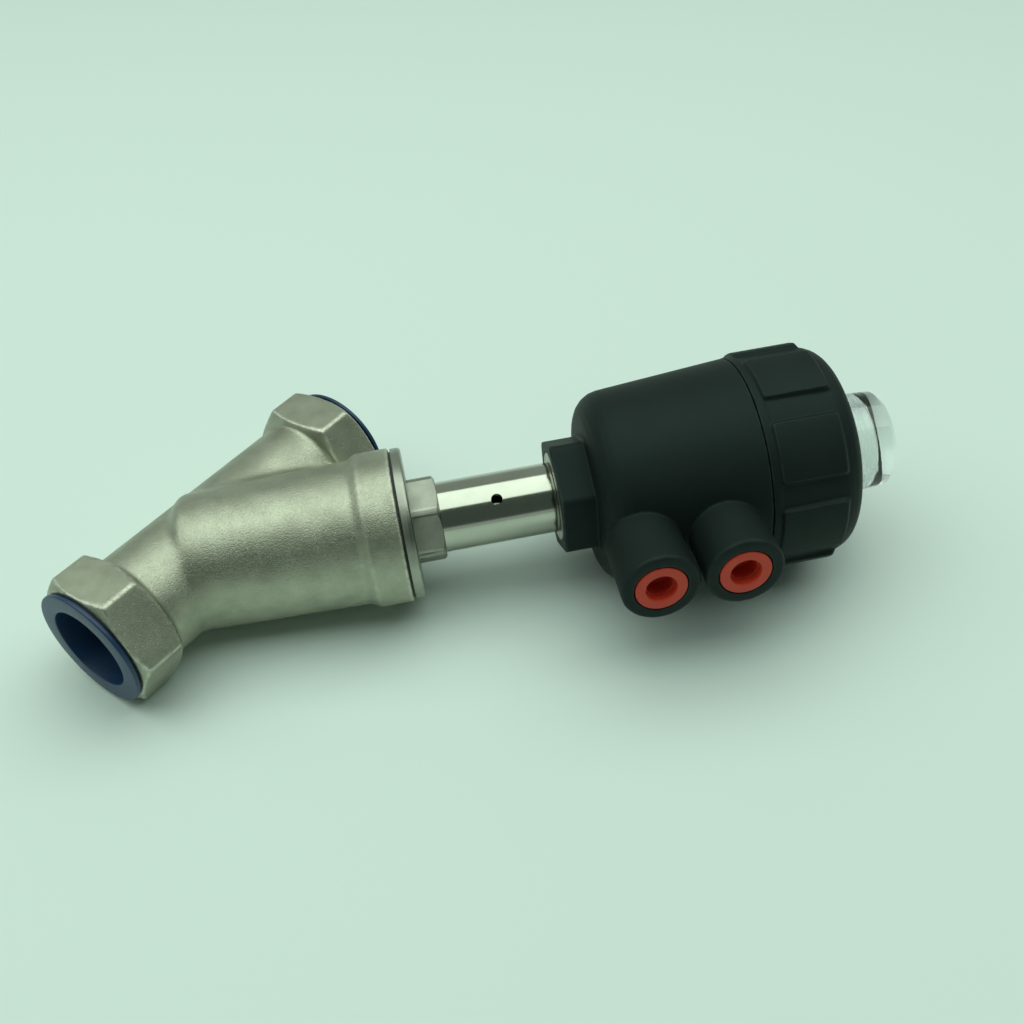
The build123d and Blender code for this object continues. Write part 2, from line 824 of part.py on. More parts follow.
# ---------------------------------------------------------------- trim
def stem():
    """Turned rod from the disc to the piston."""
    return turned(
        [
            (0, nut_foot - thread_overhang),
            (spigot_thread_r, nut_foot - thread_overhang),
            (spigot_thread_r, stem_shoulder),
            (stem_r, stem_shoulder),
            (stem_r, piston_shoulder),
            (spigot_thread_r, piston_shoulder),
            (spigot_thread_r, stem_top),
            (0, stem_top),
        ],
        {1: edge_break, 6: edge_break},
    )


def disc_holder():
    """Cup that carries the soft seal and screws it to the stem."""
    pocket_top = disc_foot + seal_pocket_depth
    return turned(
        [
            (spigot_thread_r, pocket_top),
            (seal_r, pocket_top),
            (seal_r, disc_foot),
            (disc_r, disc_foot),
            (disc_r, disc_foot + disc_rim_height),
            (disc_hub_r, disc_top),
            (disc_hub_r, disc_top + disc_hub_height),
            (stem_r, disc_top + disc_hub_height),
            (stem_r, stem_shoulder),
            (spigot_thread_r, stem_shoulder),
        ]
    )


def seat_seal():
    return ring(spigot_thread_r, seal_r, seal_foot, seal_foot + seal_height)


def disc_washer():
    return ring(spigot_thread_r, washer_r, washer_foot, seal_foot)


def lock_nut(foot):
    top = foot + nut_height
    body = chamfered(hexagon(nut_flats, foot, top), nut_flats / 2 - hex_cone_step, foot, top)
    return body - rod(spigot_thread_r, foot, top)


def disc_nut():
    return lock_nut(nut_foot)


def piston_nut():
    return lock_nut(piston_nut_foot)


def piston():
    """Piston with grooves for its seal and its guide ring."""
    rim_r = cylinder_r - piston_gap
    seal_low = piston_foot + piston_land
    seal_high = seal_low + piston_seal_height
    guide_low = seal_high + piston_land
    guide_high = guide_low + guide_ring_height
    return turned(
        [
            (spigot_thread_r, piston_shoulder),
            (piston_hub_r, piston_shoulder),
            (piston_hub_r, piston_foot),
            (rim_r, piston_foot),
            (rim_r, seal_low),
            (rim_r - piston_seal_depth, seal_low),
            (rim_r - piston_seal_depth, seal_high),
            (rim_r, seal_high),
            (rim_r, guide_low),
            (rim_r - guide_ring_depth, guide_low),
            (rim_r - guide_ring_depth, guide_high),
            (rim_r, guide_high),
            (rim_r, piston_foot + piston_height),
            (rim_r - piston_rim_width, piston_foot + piston_height),
            (rim_r - piston_seal_depth - piston_land, piston_seat),
            (spigot_thread_r, piston_seat),
        ]
    )


def piston_seal():
    """Lip seal in the piston's lower groove, lip towards the air."""
    foot = piston_foot + piston_land
    top = foot + piston_seal_height
    inner = cylinder_r - piston_gap - piston_seal_depth
    outer = cylinder_r - seal_gap
    return turned(
        [
            (inner, foot),
            (inner + 2 * piston_seal_lip, foot),
            ((inner + outer) / 2, foot + piston_seal_height / 2),
            (outer - piston_seal_lip, foot),
            (outer, foot + piston_seal_lip),
            (outer - piston_seal_lip / 2, top),
            (inner, top),
        ]
    )


def piston_guide_ring():
    foot = piston_foot + 2 * piston_land + piston_seal_height
    inner = cylinder_r - piston_gap - guide_ring_depth
    return ring(inner, cylinder_r - run_gap, foot, foot + guide_ring_height)


def position_indicator():
    """Coloured head on a rod; it rises into the dome as the valve opens."""
    return turned(
        [
            (0, stem_top),
            (indicator_rod_r, stem_top),
            (indicator_rod_r, indicator_foot),
            (indicator_r, indicator_foot),
            (indicator_r, indicator_top),
            (0, indicator_top),
        ],
        {4: 2 * edge_break},
    )


# ---------------------------------------------------------------- plugs
def port_plug():
    """Transit plug in a port, its flange outwards along Z from the port face."""
    rear = port_plug_neck
    front = port_plug_neck + port_plug_flange
    skirt_r = lead_in_r - loose_gap
    end = -(lead_in_depth - loose_gap)
    return turned(
        [
            (0, end),
            (skirt_r, end),
            (skirt_r, face_gap),
            (port_plug_neck_r, face_gap),
            (port_plug_neck_r, rear),
            (port_plug_flange_r, rear),
            (port_plug_flange_r, front),
            (port_plug_cup_r, front),
            (port_plug_cup_r, end + port_plug_floor),
            (0, end + port_plug_floor),
        ],
        {1: 2 * edge_break, 6: edge_break, 7: edge_break / 2},
    )


def air_plug():
    """Transit plug in an air port, flush with the face of the boss."""
    flange_back = -(air_counterbore_depth - face_gap)
    skirt_r = air_recess_r - loose_gap
    end = -(air_counterbore_depth + air_recess_depth - loose_gap)
    return turned(
        [
            (0, end),
            (skirt_r, end),
            (skirt_r, flange_back),
            (air_plug_flange_r, flange_back),
            (air_plug_flange_r, 0),
            (air_plug_cup_r, 0),
            (air_plug_cup_r, -air_plug_cup_depth),
            (air_plug_core_r, -air_plug_cup_depth),
            (air_plug_core_r, end + air_plug_floor),
            (0, end + air_plug_floor),
        ],
        {1: edge_break, 4: edge_break, 5: edge_break},
    )


# ---------------------------------------------------------------- assembly
PIECES = [
    ("valve_body", valve_body, CROSSING),
    ("bonnet_gasket", bonnet_gasket, STEM),
    ("bonnet", bonnet, STEM),
    ("lower_guide_bush", lower_guide_bush, STEM),
    ("neck_tube", neck_tube, STEM),
    ("packing_spring", packing_spring, STEM),
    ("packing_pressure_ring", packing_pressure_ring, STEM),
    ("packing_rings", packing_rings, STEM),
    ("packing_gland", packing_gland, STEM),
    ("upper_guide_bush", upper_guide_bush, STEM),
    ("stem_wiper", stem_wiper, STEM),
    ("neck_o_ring", neck_o_ring, STEM),
    ("neck_circlip", neck_circlip, STEM),
    ("mounting_ring", mounting_ring, ACTUATOR),
    ("actuator_housing", actuator_housing, ACTUATOR),
    ("cap_o_ring", cap_o_ring, ACTUATOR),
    ("actuator_cap", actuator_cap, ACTUATOR),
    ("indicator_dome", indicator_dome, ACTUATOR),
    ("dome_o_ring", dome_o_ring, ACTUATOR),
    ("spring_plate", spring_plate, ACTUATOR),
    ("outer_spring", outer_spring, ACTUATOR),
    ("inner_spring", inner_spring, ACTUATOR),
    ("stem", stem, STEM),
    ("disc_holder", disc_holder, STEM),
    ("seat_seal", seat_seal, STEM),
    ("disc_washer", disc_washer, STEM),
    ("disc_nut", disc_nut, STEM),
    ("piston", piston, STEM),
    ("piston_seal", piston_seal, STEM),
    ("piston_guide_ring", piston_guide_ring, STEM),
    ("piston_nut", piston_nut, STEM),
    ("position_indicator", position_indicator, STEM),
    ("inlet_plug", port_plug, INLET),
    ("outlet_plug", port_plug, OUTLET),
    ("air_plug_low", air_plug, ACTUATOR * air_port(0)),
    ("air_plug_high", air_plug, ACTUATOR * air_port(1)),
]

os.makedirs("parts", exist_ok=True)
for name, build, frame in PIECES:
    export_step(frame * build(), f"parts/{name}.step")
print("rest tilt", round(rest_tilt(), 3), "nodes", len(PIECES))
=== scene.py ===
# %% [markdown]
# # Angle seat valve
# A pneumatic angle seat valve: a cast stainless Y body, a polished neck, a black
# moulded actuator with a screwed cap, and a clear dome over the position indicator.
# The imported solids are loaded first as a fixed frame.  Pieces that show are then
# modelled again over them, with softer edges and real finishes.

# %% Load the frame
import json
import math

import bmesh
import bpy
from mathutils import Matrix, Vector


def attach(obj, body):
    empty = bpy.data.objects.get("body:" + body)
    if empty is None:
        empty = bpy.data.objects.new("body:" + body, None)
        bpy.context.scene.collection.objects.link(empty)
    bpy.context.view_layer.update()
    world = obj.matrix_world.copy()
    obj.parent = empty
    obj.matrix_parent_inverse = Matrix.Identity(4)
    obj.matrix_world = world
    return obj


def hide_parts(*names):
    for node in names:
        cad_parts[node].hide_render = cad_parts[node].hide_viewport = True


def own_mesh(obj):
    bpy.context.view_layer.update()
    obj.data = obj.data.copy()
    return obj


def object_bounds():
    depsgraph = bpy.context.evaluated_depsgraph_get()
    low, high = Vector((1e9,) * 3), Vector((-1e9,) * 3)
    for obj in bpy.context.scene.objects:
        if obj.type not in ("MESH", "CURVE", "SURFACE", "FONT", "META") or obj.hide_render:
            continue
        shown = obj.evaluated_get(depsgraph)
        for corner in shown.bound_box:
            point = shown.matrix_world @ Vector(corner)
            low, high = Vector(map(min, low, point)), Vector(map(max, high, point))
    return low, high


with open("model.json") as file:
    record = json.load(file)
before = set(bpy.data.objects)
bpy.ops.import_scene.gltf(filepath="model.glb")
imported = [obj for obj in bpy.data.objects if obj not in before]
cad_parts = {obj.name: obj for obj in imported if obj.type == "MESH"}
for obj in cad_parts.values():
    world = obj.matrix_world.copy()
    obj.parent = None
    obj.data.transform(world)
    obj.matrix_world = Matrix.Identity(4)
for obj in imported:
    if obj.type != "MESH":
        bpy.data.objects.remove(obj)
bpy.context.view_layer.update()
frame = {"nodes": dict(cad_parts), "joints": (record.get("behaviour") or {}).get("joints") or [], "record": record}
nodes = frame["nodes"]

# %% [markdown]
# The valve is drawn round two axes that cross inside the body: the flow axis, which
# is X, and the stem axis.  Each piece is easiest to model in millimetres round its
# own axis, so every axis gets a matrix that carries such a piece to its place in
# metres.  The axes come from the joints, so the pieces follow the frame.

# %% Axes of the valve
MM = 0.001
CROSSING, INLET_REACH, OUTLET_REACH = 32.5, 41, 69
joints = {joint["name"]: joint for joint in frame["joints"]}
stem_axis = Vector(joints["stem_lift"]["axis"]).normalized()
boss_axis = Vector(joints["low_air_cap_pull"]["axis"]).normalized()
flow_axis = Vector((1, 0, 0))
crossing = Vector((CROSSING, 0, 0)) * MM


def axes(origin, z_axis, x_axis):
    """Matrix from millimetres round z_axis to the valve's own metres."""
    z = z_axis.normalized()
    x = (x_axis - x_axis.dot(z) * z).normalized()
    turn = Matrix((x, z.cross(x), z)).transposed().to_4x4()
    return Matrix.Translation(origin) @ turn @ Matrix.Scale(MM, 4)


stem_frame = axes(crossing, stem_axis, -flow_axis)
actuator_frame = axes(crossing, stem_axis, boss_axis)
up = -stem_frame.col[1].xyz.normalized()
inlet_frame = axes(crossing - INLET_REACH * MM * flow_axis, -flow_axis, up)
outlet_frame = axes(crossing + OUTLET_REACH * MM * flow_axis, flow_axis, up)
print("stem axis", stem_axis, "up", up)

# %% [markdown]
# The camera stands above the inlet side and looks down on the valve, as when it lies
# on a bench.  A slightly long lens keeps the port hexagons from swelling.

# %% Camera
camera_place = Vector((-0.1126, -0.2224, 0.2704))
camera_view = Vector((0.5833, 0.3974, -0.7084))
camera_roll = math.radians(0.54)
camera_data = bpy.data.cameras.new("camera")
camera_data.lens = 39.83
camera_data.sensor_width = 36
camera_data.clip_start = 0.01
camera = bpy.data.objects.new("camera", camera_data)
camera_turn = camera_view.to_track_quat("-Z", "Y").to_matrix().to_4x4()
camera.matrix_world = (
    Matrix.Translation(camera_place) @ camera_turn @ Matrix.Rotation(camera_roll, 4, "Z")
)
bpy.context.scene.collection.objects.link(camera)
bpy.context.scene.camera = camera
bpy.context.scene.view_settings.view_transform = "Standard"

# %% [markdown]
# Every shader and the room's colour are built from nodes, so one helper adds a node
# with its properties and its links.  A colour mix has its colours at fixed sockets.

# %% Helper for nodes
MIX_A, MIX_B, MIX_OUT = 6, 7, 2


def add(tree, kind, links=(), **settings):
    """Adds a node, sets its properties and links (input, socket or value) pairs."""
    node = tree.nodes.new(kind)
    for key, value in settings.items():
        setattr(node, key, value)
    for key, value in dict(links).items():
        if isinstance(value, bpy.types.NodeSocket):
            tree.links.new(value, node.inputs[key])
        else:
            node.inputs[key].default_value = value
    return node

# %% [markdown]
# One very broad panel hangs over the bench, a little behind the valve, and gives the
# neck its long bright streak.  The room is dim in front of the valve, lighter behind
# it and palest low down, where the benches are, so round metal shows a dark and a
# pale band beside the streak.

# %% Lamps and world
def panel(name, place, aim, width, height, power, colour):
    """A rectangular lamp at place that faces aim."""
    data = bpy.data.lights.new(name, "AREA")
    data.shape = "RECTANGLE"
    data.size = width
    data.size_y = height
    data.energy = power
    data.color = colour
    lamp = bpy.data.objects.new(name, data)
    lamp.location = place
    facing = axes(Vector(place), Vector(place) - Vector(aim), stem_axis).to_3x3().normalized()
    lamp.rotation_euler = facing.to_euler()
    bpy.context.scene.collection.objects.link(lamp)


panel("ceiling", (0.14, 0.12, 1.17), (0.08, -0.07, 0), 3.0, 1.35, 22.5, (0.86, 1.0, 0.92))
world = bpy.data.worlds.new("room")
bpy.context.scene.world = world
world.use_nodes = True
room_tree = world.node_tree
direction = room_tree.nodes.new("ShaderNodeTexCoord").outputs["Generated"]
behind = Vector((camera_view.x, camera_view.y, 0)).normalized()


def room_colour(axis, start, end, below, above):
    """Colour that goes from below to above as the direction along axis goes from start to end."""
    share = add(room_tree, "ShaderNodeVectorMath", {0: direction, 1: axis}, operation="DOT_PRODUCT")
    ramp = add(
        room_tree, "ShaderNodeMapRange",
        {"Value": share.outputs["Value"], "From Min": start, "From Max": end},
    )
    mix = add(
        room_tree, "ShaderNodeMix", {"Factor": ramp.outputs[0], MIX_A: below, MIX_B: above},
        data_type="RGBA",
    )
    return mix.outputs[MIX_OUT]


walls = room_colour(behind, -0.3, 0.8, (0.070, 0.095, 0.080, 1), (0.31, 0.37, 0.335, 1))
room = room_colour((0, 0, 1), 0.06, 0.16, (0.42, 0.50, 0.46, 1), walls)
room_tree.links.new(room, room_tree.nodes["Background"].inputs["Color"])

# %% [markdown]
# Modelling helpers.  Turned pieces start as a half outline of points, each with the
# rounding of its corner.  The corners are bevelled while the outline is still a
# wire, and then it is spun.

# %% Helpers for turned pieces
STEPS = 128


def spun(points, steps=STEPS, closed=True):
    """bmesh of a solid of revolution round Z from (radius, height, rounding) points."""
    bm = bmesh.new()
    verts = [bm.verts.new((p[0], 0, p[1])) for p in points]
    for a, b in zip(verts, verts[1:]):
        bm.edges.new((a, b))
    if closed:
        bm.edges.new((verts[-1], verts[0]))
    for vert, point in zip(verts, points):
        if len(point) > 2 and point[2]:
            bmesh.ops.bevel(
                bm, geom=[vert], offset=point[2], offset_type="OFFSET", affect="VERTICES",
                segments=5, profile=0.5, material=-1,
            )
    bmesh.ops.spin(
        bm, geom=bm.verts[:] + bm.edges[:], cent=(0, 0, 0), axis=(0, 0, 1),
        angle=math.tau, steps=steps, use_merge=True,
    )
    bmesh.ops.remove_doubles(bm, verts=bm.verts[:], dist=1e-4)
    bmesh.ops.recalc_face_normals(bm, faces=bm.faces[:])
    return bm


def prism(flats, foot, top, turn=0.0, rounding=0.0):
    """bmesh of a hexagonal prism with one corner on X, turned by turn degrees."""
    bm = bmesh.new()
    bmesh.ops.create_circle(bm, cap_ends=True, segments=6, radius=flats / math.sqrt(3))
    corner = bm.verts[:][0].co
    spin = Matrix.Rotation(math.radians(turn) - math.atan2(corner.y, corner.x), 4, "Z")
    bmesh.ops.transform(bm, matrix=Matrix.Translation((0, 0, foot)) @ spin, verts=bm.verts[:])
    grown = bmesh.ops.extrude_face_region(bm, geom=bm.faces[:])
    lifted = [g for g in grown["geom"] if isinstance(g, bmesh.types.BMVert)]
    bmesh.ops.translate(bm, vec=(0, 0, top - foot), verts=lifted)
    if rounding:
        upright = [e for e in bm.edges if abs(e.verts[0].co.z - e.verts[1].co.z) > (top - foot) / 2]
        bmesh.ops.bevel(
            bm, geom=upright, offset=rounding, offset_type="OFFSET", affect="EDGES", segments=5,
            profile=0.5, material=-1,
        )
    bmesh.ops.recalc_face_normals(bm, faces=bm.faces[:])
    return bm


# %% [markdown]
# Shapes are joined and cut with the Boolean modifier while they are still in
# millimetres, and soft moulded or cast forms are then remeshed and smoothed, which
# rounds every inner and outer corner a little, as a mould does.

# %% Helpers for solid work
def loose(bm, name):
    """A new object from bm, which is freed."""
    mesh = bpy.data.meshes.new(name)
    bm.to_mesh(mesh)
    bm.free()
    obj = bpy.data.objects.new(name, mesh)
    bpy.context.scene.collection.objects.link(obj)
    return obj


def applied(obj):
    """Bakes obj's modifiers into its mesh."""
    graph = bpy.context.evaluated_depsgraph_get()
    mesh = bpy.data.meshes.new_from_object(obj.evaluated_get(graph))
    obj.modifiers.clear()
    old, obj.data = obj.data, mesh
    bpy.data.meshes.remove(old)


def combine(obj, bm, operation):
    """Joins, cuts or keeps the common part of obj and the shape in bm."""
    tool = loose(bm, "tool")
    step = obj.modifiers.new("step", "BOOLEAN")
    step.operation = operation
    step.solver = "EXACT"
    step.object = tool
    applied(obj)
    mesh = tool.data
    bpy.data.objects.remove(tool)
    bpy.data.meshes.remove(mesh)


def smoothed(bm, verts, passes):
    """Moves verts halfway to the middle of their neighbours, passes times over."""
    for _ in range(passes):
        bmesh.ops.smooth_vert(
            bm, verts=verts, factor=0.5, use_axis_x=True, use_axis_y=True, use_axis_z=True,
        )


def mark_wear_and_highlight(bm, passes=5, full=0.1):
    """Stores on each vertex how proud it stands of a smoother form; it masks the edge rub and the painted edge
    highlight.
    """
    bm.normal_update()
    before = [v.co.copy() for v in bm.verts]
    smoothed(bm, bm.verts[:], passes)
    wear_and_highlight = bm.verts.layers.float.new("wear_and_highlight")
    for vert, place in zip(bm.verts, before):
        vert[wear_and_highlight] = min(1.0, max(0.0, (place - vert.co).dot(vert.normal) / full))
        vert.co = place


def softened(obj, voxel, *zones):
    """Remeshes obj to an even mesh, then smooths it zone by zone.

    Each zone is a number of passes and, if it isn't the whole piece, a test of place."""
    step = obj.modifiers.new("even", "REMESH")
    step.mode = "VOXEL"
    step.voxel_size = voxel
    applied(obj)
    bm = bmesh.new()
    bm.from_mesh(obj.data)
    for passes, *inside in zones:
        verts = [v for v in bm.verts if inside[0](v.co)] if inside else bm.verts[:]
        smoothed(bm, verts, passes)
    mark_wear_and_highlight(bm)
    bm.to_mesh(obj.data)
    bm.free()


def thinned(obj, faces):
    """Merges the flattest faces of obj until it has about so many triangles."""
    triangles = sum(len(face.vertices) - 2 for face in obj.data.polygons)
    step = obj.modifiers.new("fewer", "DECIMATE")
    step.ratio = min(1.0, faces / triangles)
    applied(obj)


def bevelled(obj, width, angle=35, segments=2):
    """Rounds every sharp edge of obj a little."""
    step = obj.modifiers.new("edges", "BEVEL")
    step.width = width
    step.segments = segments
    step.limit_method = "ANGLE"
    step.angle_limit = math.radians(angle)
    step.use_clamp_overlap = True
    applied(obj)


def set_down(obj, matrix, material, body, stands_for=(), sharp=45):
    """Puts a finished piece in its place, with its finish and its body."""
    bm = bmesh.new()
    bm.from_mesh(obj.data)
    bmesh.ops.transform(bm, matrix=matrix, verts=bm.verts[:])
    for face in bm.faces:
        face.smooth = True
    for edge in bm.edges:
        edge.smooth = len(edge.link_faces) == 2 and edge.calc_face_angle(0) < math.radians(sharp)
    bm.to_mesh(obj.data)
    bm.free()
    obj.data.materials.clear()
    obj.data.materials.append(material)
    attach(obj, body)
    if stands_for:
        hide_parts(*stands_for)
    print(obj.name, "faces", len(obj.data.polygons))
    return obj

# %% [markdown]
# Four effects are used by many of the finishes, so each is a shader node group: a
# slow drift between two colours, a fine grain, the rings that a lathe or a polishing
# wheel leaves round an axis, and a lighter colour on outer edges, which follows how
# proud each vertex of the softened pieces stands.  On the cast steel it is bare rub;
# on the black nylon it is partly rub and partly a painted highlight.

# %% Shader node groups
FLOAT, COLOUR, VECTOR = "NodeSocketFloat", "NodeSocketColor", "NodeSocketVector"


def new_group(name, inputs, outputs):
    """Shader node group with (name, socket type, default) inputs and (name, type) outputs."""
    group = bpy.data.node_groups.new(name, "ShaderNodeTree")
    for label, kind, default in inputs:
        socket = group.interface.new_socket(label, in_out="INPUT", socket_type=kind)
        if default is not None:
            socket.default_value = default
    for label, kind in outputs:
        group.interface.new_socket(label, in_out="OUTPUT", socket_type=kind)
    ends = group.nodes.new("NodeGroupInput"), group.nodes.new("NodeGroupOutput")
    return group, ends[0].outputs, ends[1].inputs


def clouds(group, inputs, detail):
    """Value of a noise at the vector and the scale that the group is given."""
    noise = add(
        group, "ShaderNodeTexNoise",
        {"Vector": inputs["Vector"], "Scale": inputs["Scale"], "Detail": detail},
    )
    return noise.outputs["Fac"]


drift_group, given, made = new_group(
    "Drift",
    [("Vector", VECTOR, None), ("Scale", FLOAT, 0.05), ("Contrast", FLOAT, 2.0),
     ("Colour A", COLOUR, (1, 1, 1, 1)), ("Colour B", COLOUR, (0, 0, 0, 1))],
    [("Colour", COLOUR), ("Mask", FLOAT)],
)
centred = add(
    drift_group, "ShaderNodeMath", {0: clouds(drift_group, given, 4.0), 1: 0.5},
    operation="SUBTRACT",
)
spread = add(
    drift_group, "ShaderNodeMath", {0: centred.outputs[0], 1: given["Contrast"], 2: 0.5},
    operation="MULTIPLY_ADD", use_clamp=True,
)
blend = add(
    drift_group, "ShaderNodeMix",
    {"Factor": spread.outputs[0], MIX_A: given["Colour A"], MIX_B: given["Colour B"]},
    data_type="RGBA",
)
drift_group.links.new(blend.outputs[MIX_OUT], made["Colour"])
drift_group.links.new(spread.outputs[0], made["Mask"])

grain_group, given, made = new_group(
    "Grain",
    [("Vector", VECTOR, None), ("Scale", FLOAT, 1.0), ("Pits", FLOAT, 0.3)],
    [("Height", FLOAT)],
)
cells = add(
    grain_group, "ShaderNodeTexVoronoi", {"Vector": given["Vector"], "Scale": given["Scale"]},
)
pits = add(
    grain_group, "ShaderNodeMapRange",
    {"Value": cells.outputs["Distance"], "From Min": 0.05, "From Max": 0.35,
     "To Min": -1.0, "To Max": 0.0},
)
height = add(
    grain_group, "ShaderNodeMath",
    {0: pits.outputs[0], 1: given["Pits"], 2: clouds(grain_group, given, 3.0)},
    operation="MULTIPLY_ADD",
)
grain_group.links.new(height.outputs[0], made["Height"])

rings_group, given, made = new_group(
    "Rings",
    [("Vector", VECTOR, None), ("Pitch", FLOAT, 0.2), ("Blur", FLOAT, 0.02)],
    [("Height", FLOAT)],
)
split = add(rings_group, "ShaderNodeSeparateXYZ", {"Vector": given["Vector"]})
along = add(
    rings_group, "ShaderNodeMath", {0: split.outputs["Z"], 1: given["Pitch"]},
    operation="DIVIDE",
)
across = [
    add(
        rings_group, "ShaderNodeMath", {0: split.outputs[letter], 1: given["Blur"]},
        operation="MULTIPLY",
    )
    for letter in "XY"
]
stretched = add(
    rings_group, "ShaderNodeCombineXYZ",
    {"X": across[0].outputs[0], "Y": across[1].outputs[0], "Z": along.outputs[0]},
)
noise = add(
    rings_group, "ShaderNodeTexNoise",
    {"Vector": stretched.outputs[0], "Scale": 1.0, "Detail": 5.0, "Roughness": 0.6},
)
rings_group.links.new(noise.outputs["Fac"], made["Height"])

# Mask of the lighter outer edges: rub, and on the black nylon also a painted highlight.
rub_and_highlight_group, given, made = new_group(
    "Edge rub and highlight",
    [("Vector", VECTOR, None), ("Wear and highlight", FLOAT, 0.0), ("Start", FLOAT, 0.2), ("End", FLOAT, 0.8),
     ("Scale", FLOAT, 0.6)],
    [("Mask", FLOAT)],
)
edge = add(
    rub_and_highlight_group, "ShaderNodeMapRange",
    {"Value": given["Wear and highlight"], "From Min": given["Start"], "From Max": given["End"]},
)
patchy = add(
    rub_and_highlight_group, "ShaderNodeMapRange",
    {"Value": clouds(rub_and_highlight_group, given, 3.0), "From Min": 0.3, "From Max": 0.6},
)
both = add(
    rub_and_highlight_group, "ShaderNodeMath", {0: edge.outputs[0], 1: patchy.outputs[0]},
    operation="MULTIPLY",
)
rub_and_highlight_group.links.new(both.outputs[0], made["Mask"])
print("groups", [g.name for g in bpy.data.node_groups])

# %% [markdown]
# Every finish is a Principled surface fed by those groups.  Patterns read Object
# coordinates through a Mapping node that turns them to the piece's own axis and to
# millimetres, so a scale of 2 means features of about half a millimetre.

# %% One builder for the finishes
def effect(tree, group, links):
    """The outputs of a shader node group that is used in tree."""
    return add(tree, "ShaderNodeGroup", links, node_tree=group).outputs


def finish(name, matrix, colours, drift=(0.05, 2.0), rough=(0.3, 0.5), grain=None, rings=None,
           rub_and_highlight=None, metallic=0.0, **sockets):
    """A procedural material.

    colours: two linear colours that drift into each other; drift: scale, contrast.
    rough: lowest and highest roughness.  grain: scale, pits, depth in millimetres.
    rings: pitch, blur, depth.  The lighter outer edges take start, end, scale and colour;
    they are rub, and on the black nylon partly a painted highlight too."""
    material = bpy.data.materials.new(name)
    material.use_nodes = True
    tree = material.node_tree
    shader = tree.nodes["Principled BSDF"]
    shader.inputs["Metallic"].default_value = metallic
    for key, value in sockets.items():
        shader.inputs[key.replace("_", " ")].default_value = value
    place, turn, scale = matrix.decompose()
    local = add(
        tree, "ShaderNodeMapping",
        {"Vector": add(tree, "ShaderNodeTexCoord").outputs["Object"], "Location": place,
         "Rotation": turn.to_euler(), "Scale": scale},
        vector_type="TEXTURE",
    ).outputs[0]
    drifting = effect(
        tree, drift_group,
        {"Vector": local, "Scale": drift[0], "Contrast": drift[1],
         "Colour A": (*colours[0], 1), "Colour B": (*colours[1], 1)},
    )
    colour = drifting["Colour"]
    heights = []
    if grain:
        grainy = effect(tree, grain_group, {"Vector": local, "Scale": grain[0], "Pits": grain[1]})
        heights.append((grainy["Height"], grain[2]))
    if rings:
        ringed = effect(tree, rings_group, {"Vector": local, "Pitch": rings[0], "Blur": rings[1]})
        heights.append((ringed["Height"], rings[2]))
    # Outer edges are mixed towards a lighter colour: rub, and on the black nylon a painted edge highlight too.
    if rub_and_highlight:
        wear_and_highlight = add(tree, "ShaderNodeAttribute", attribute_name="wear_and_highlight").outputs["Fac"]
        rubbed_and_highlighted = effect(
            tree, rub_and_highlight_group,
            {"Vector": local, "Wear and highlight": wear_and_highlight, "Start": rub_and_highlight[0], "End": rub_and_highlight[1], "Scale": rub_and_highlight[2]},
        )
        worn_and_highlighted = add(
            tree, "ShaderNodeMix",
            {"Factor": rubbed_and_highlighted["Mask"], MIX_A: colour, MIX_B: (*rub_and_highlight[3], 1)}, data_type="RGBA",
        )
        colour = worn_and_highlighted.outputs[MIX_OUT]
    tree.links.new(colour, shader.inputs["Base Color"])
    uneven = heights[-1][0] if heights else drifting["Mask"]
    roughness = add(
        tree, "ShaderNodeMapRange",
        {"Value": uneven, "From Min": 0.3, "From Max": 0.7, "To Min": rough[0], "To Max": rough[1]},
    )
    tree.links.new(roughness.outputs[0], shader.inputs["Roughness"])
    normal = None
    for socket, depth in heights:
        bump = add(tree, "ShaderNodeBump", {"Height": socket, "Distance": depth * MM, "Strength": 1.0})
        if normal:
            tree.links.new(normal, bump.inputs["Normal"])
        normal = bump.outputs[0]
    if normal:
        tree.links.new(normal, shader.inputs["Normal"])
    print("finish", name)
    return material


# %% [markdown]
# Investment-cast stainless steel is blasted with beads, which leaves a warm grey
# satin skin with faint clouds and tiny pits.  Turned pieces carry fine rings, and
# the neck and the stem are polished, so only a trace of the rings is left.

# %% Metals
cast_steel = finish(
    "cast_stainless", stem_frame, ((0.45, 0.46, 0.36), (0.36, 0.37, 0.285)), drift=(0.14, 3.0),
    rough=(0.38, 0.56), grain=(1.8, 0.5, 0.09), rub_and_highlight=(0.15, 0.9, 0.5, (0.62, 0.62, 0.52)), metallic=1.0,
)
turned_steel = finish(
    "turned_stainless", stem_frame, ((0.39, 0.40, 0.335), (0.30, 0.31, 0.26)), drift=(0.14, 3.0),
    rough=(0.30, 0.44), grain=(1.6, 0.2, 0.02), rings=(0.45, 0.02, 0.005), metallic=1.0,
)
polished_steel = finish(
    "polished_stainless", stem_frame, ((0.52, 0.53, 0.45), (0.44, 0.45, 0.375)), drift=(0.1, 2.0),
    rough=(0.08, 0.18), rings=(0.25, 0.01, 0.008), metallic=1.0,
)
wire_steel = finish(
    "drawn_wire", stem_frame, ((0.40, 0.40, 0.40), (0.32, 0.32, 0.32)), rough=(0.3, 0.45),
    grain=(1.5, 0.2, 0.02), metallic=1.0,
)
light_metal = finish(
    "turned_aluminium", stem_frame, ((0.66, 0.67, 0.68), (0.6, 0.6, 0.62)), rough=(0.25, 0.38),
    rings=(0.3, 0.02, 0.01), metallic=1.0,
)
